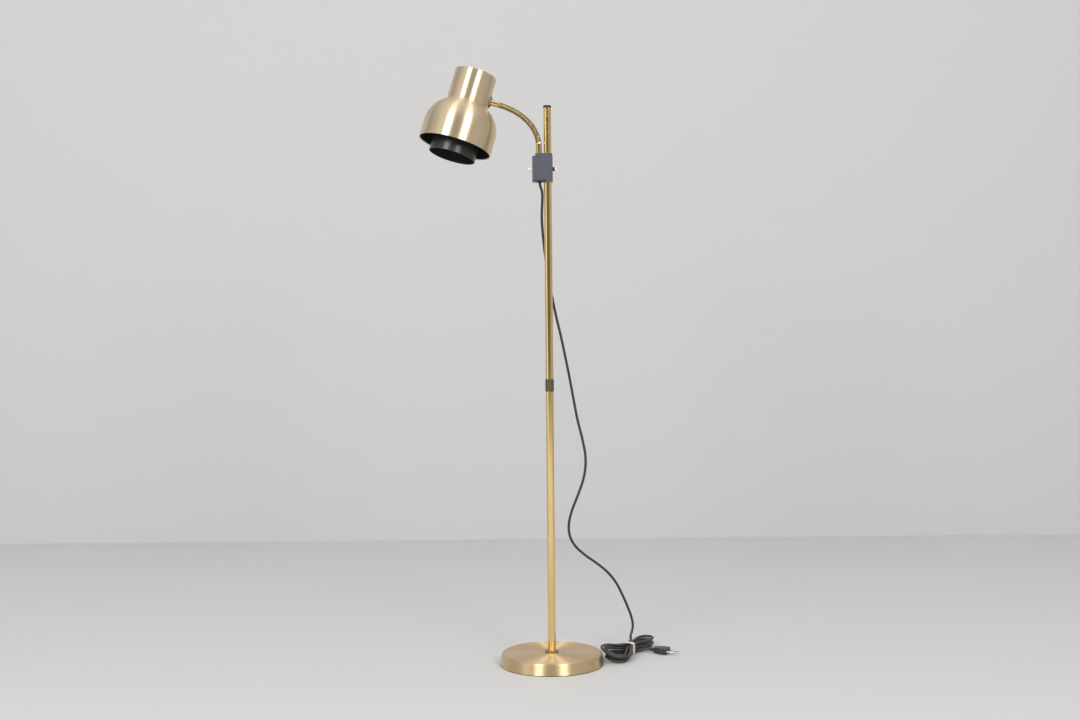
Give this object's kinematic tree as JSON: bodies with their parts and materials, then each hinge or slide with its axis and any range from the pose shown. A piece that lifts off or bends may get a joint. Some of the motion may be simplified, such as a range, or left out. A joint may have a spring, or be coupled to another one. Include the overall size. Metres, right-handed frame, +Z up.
{
  "type": "floor lamp",
  "caption": "Brass floor lamp: round weighted base, pole, sliding clamp with switch and wing screw, ribbed gooseneck arm, bell shade with a black glare tube, corded plug.",
  "frame": {"origin": "on the floor under the pole axis, at the centre of the underside of the base", "axes": "+Z up the pole; the arm and shade reach towards -X; the front of the clamp, seen in the picture, faces -Y"},
  "size_m": [0.5305, 0.2758, 1.2295],
  "materials": {
    "satin_brass": "spun and finely brushed in circles, satin",
    "polished_brass": "polished and lacquered",
    "hose_brass": "polished, ribbed on the hose",
    "shade_lacquer": "spun, lacquered in pale brass outside and black inside, satin",
    "black_coat": "black satin",
    "cast_weight": "rough cast",
    "felt": "matte felt",
    "zinc_steel": "zinc plated",
    "grey_sleeve": "matte grey",
    "black_plastic": "moulded black",
    "slate_paint": "slate grey satin paint on a casting",
    "bright_metal": "bright nickel plate",
    "white_insulator": "moulded white",
    "bulb_metal": "rolled thread",
    "bulb_glass": "frosted",
    "cord_rubber": "black sheath",
    "band_rubber": "plain rubber"
  },
  "bodies": {
    "stand": {"base_cover": "satin_brass", "base_weight": "cast_weight", "base_pad": "felt", "base_washer": "zinc_steel", "base_nut": "zinc_steel", "base_stud": "zinc_steel", "base_collar": "satin_brass", "pole_foot_plug": "zinc_steel", "pole_lower_tube": "polished_brass", "pole_coupling": "grey_sleeve", "pole_upper_tube": "polished_brass", "pole_cap": "black_plastic", "cord_drop": "cord_rubber", "cord_hank": "cord_rubber", "cord_tail": "cord_rubber", "hank_band": "band_rubber", "plug_body": "cord_rubber", "plug_pins": "bright_metal"},
    "slider": {"clamp_bush": "black_plastic"},
    "clamp": {"clamp_housing": "slate_paint", "clamp_top_cover": "black_plastic", "clamp_bottom_cover": "black_plastic", "clamp_cover_screws": "zinc_steel", "cord_grommet": "black_plastic", "supply_lead": "cord_rubber", "terminal_block": "white_insulator", "screw_bush": "black_plastic", "switch_bush": "bright_metal", "switch_body": "black_plastic", "arm_ferrule_nut": "zinc_steel", "arm_lower_ferrule": "hose_brass", "cord_top": "cord_rubber"},
    "wing": {"wing_screw": "bright_metal"},
    "button": {"switch_button": "bright_metal"},
    "hose_1": {"gooseneck_link_1": "hose_brass"},
    "hose_2": {"gooseneck_link_2": "hose_brass"},
    "hose_3": {"gooseneck_link_3": "hose_brass"},
    "hose_4": {"gooseneck_link_4": "hose_brass"},
    "hose_5": {"gooseneck_link_5": "hose_brass"},
    "hose_6": {"gooseneck_link_6": "hose_brass"},
    "hose_7": {"gooseneck_link_7": "hose_brass"},
    "hose_8": {"gooseneck_link_8": "hose_brass"},
    "arm_tip": {"arm_upper_ferrule": "hose_brass", "arm_washer": "bright_metal", "arm_locknut": "zinc_steel"},
    "head": {"shade": "shade_lacquer", "shade_saddle": "black_coat", "louvre": "black_coat", "louvre_clips": "zinc_steel", "holder_bracket": "zinc_steel", "holder_nut": "zinc_steel", "lampholder": "white_insulator", "bulb_cap": "bulb_metal", "bulb_glass": "bulb_glass"}
  },
  "joints": [
    {"name": "clamp_slide", "type": "slide", "parent": "stand", "child": "slider", "axis": [0, 0, 1], "range_m": [-0.4, 0.09], "deforming": ["cord_top", "cord_drop"]},
    {"name": "clamp_swivel", "type": "hinge", "parent": "slider", "child": "clamp", "pos_m": [0, 0, 1.0212], "axis": [0, 0, 1], "range_deg": [-160, 160]},
    {"name": "wing_screw_turn", "type": "hinge", "parent": "clamp", "child": "wing", "pos_m": [0.01012, 0, 1.0212], "axis": [1, 0, 0], "range_deg": [0, 450]},
    {"name": "switch_push", "type": "slide", "parent": "clamp", "child": "button", "axis": [1, 0, 0], "range_m": [0, 0.002], "stiffness_N_per_m": 1200, "springref_m": -0.001},
    {"name": "arm_bend_1", "type": "hinge", "parent": "clamp", "child": "hose_1", "pos_m": [-0.0177, 0, 1.07395], "axis": [0.0015, -1, 0.0012], "range_deg": [-11, 3]},
    {"name": "arm_sway_1", "type": "hinge", "parent": "hose_1", "child": "hose_2", "pos_m": [-0.02084, 0, 1.08811], "axis": [-0.9499, 0, -0.3125], "range_deg": [-10, 10]},
    {"name": "arm_bend_2", "type": "hinge", "parent": "hose_2", "child": "hose_3", "pos_m": [-0.02672, 0, 1.10136], "axis": [0.0015, -1, 0.0012], "range_deg": [-11, 3]},
    {"name": "arm_sway_2", "type": "hinge", "parent": "hose_3", "child": "hose_4", "pos_m": [-0.03488, 0, 1.11335], "axis": [-0.7786, 0, -0.6275], "range_deg": [-10, 10]},
    {"name": "arm_bend_3", "type": "hinge", "parent": "hose_4", "child": "hose_5", "pos_m": [-0.04485, 0, 1.12387], "axis": [0.0015, -1, 0.0012], "range_deg": [-11, 3]},
    {"name": "arm_sway_3", "type": "hinge", "parent": "hose_5", "child": "hose_6", "pos_m": [-0.05623, 0, 1.13286], "axis": [-0.5709, 0, -0.821], "range_deg": [-10, 10]},
    {"name": "arm_bend_4", "type": "hinge", "parent": "hose_6", "child": "hose_7", "pos_m": [-0.06862, 0, 1.14039], "axis": [0.0015, -1, 0.0012], "range_deg": [-11, 3]},
    {"name": "arm_sway_4", "type": "hinge", "parent": "hose_7", "child": "hose_8", "pos_m": [-0.08173, 0, 1.14658], "axis": [-0.388, 0, -0.9216], "range_deg": [-10, 10]},
    {"name": "arm_bend_5", "type": "hinge", "parent": "hose_8", "child": "arm_tip", "pos_m": [-0.09532, 0, 1.15163], "axis": [0.0015, -1, 0.0012], "range_deg": [-11, 3]},
    {"name": "shade_turn", "type": "hinge", "parent": "arm_tip", "child": "head", "pos_m": [-0.15811, 0, 1.1703], "axis": [-0.9585, 0, 0.285], "range_deg": [-60, 60]}
  ],
  "couplings": [
    {"joint": "arm_bend_2", "follows": "arm_bend_1", "ratio": 1},
    {"joint": "arm_sway_2", "follows": "arm_sway_1", "ratio": 1},
    {"joint": "arm_bend_3", "follows": "arm_bend_1", "ratio": 1},
    {"joint": "arm_sway_3", "follows": "arm_sway_1", "ratio": 1},
    {"joint": "arm_bend_4", "follows": "arm_bend_1", "ratio": 1},
    {"joint": "arm_sway_4", "follows": "arm_sway_1", "ratio": 1},
    {"joint": "arm_bend_5", "follows": "arm_bend_1", "ratio": 1}
  ]
}
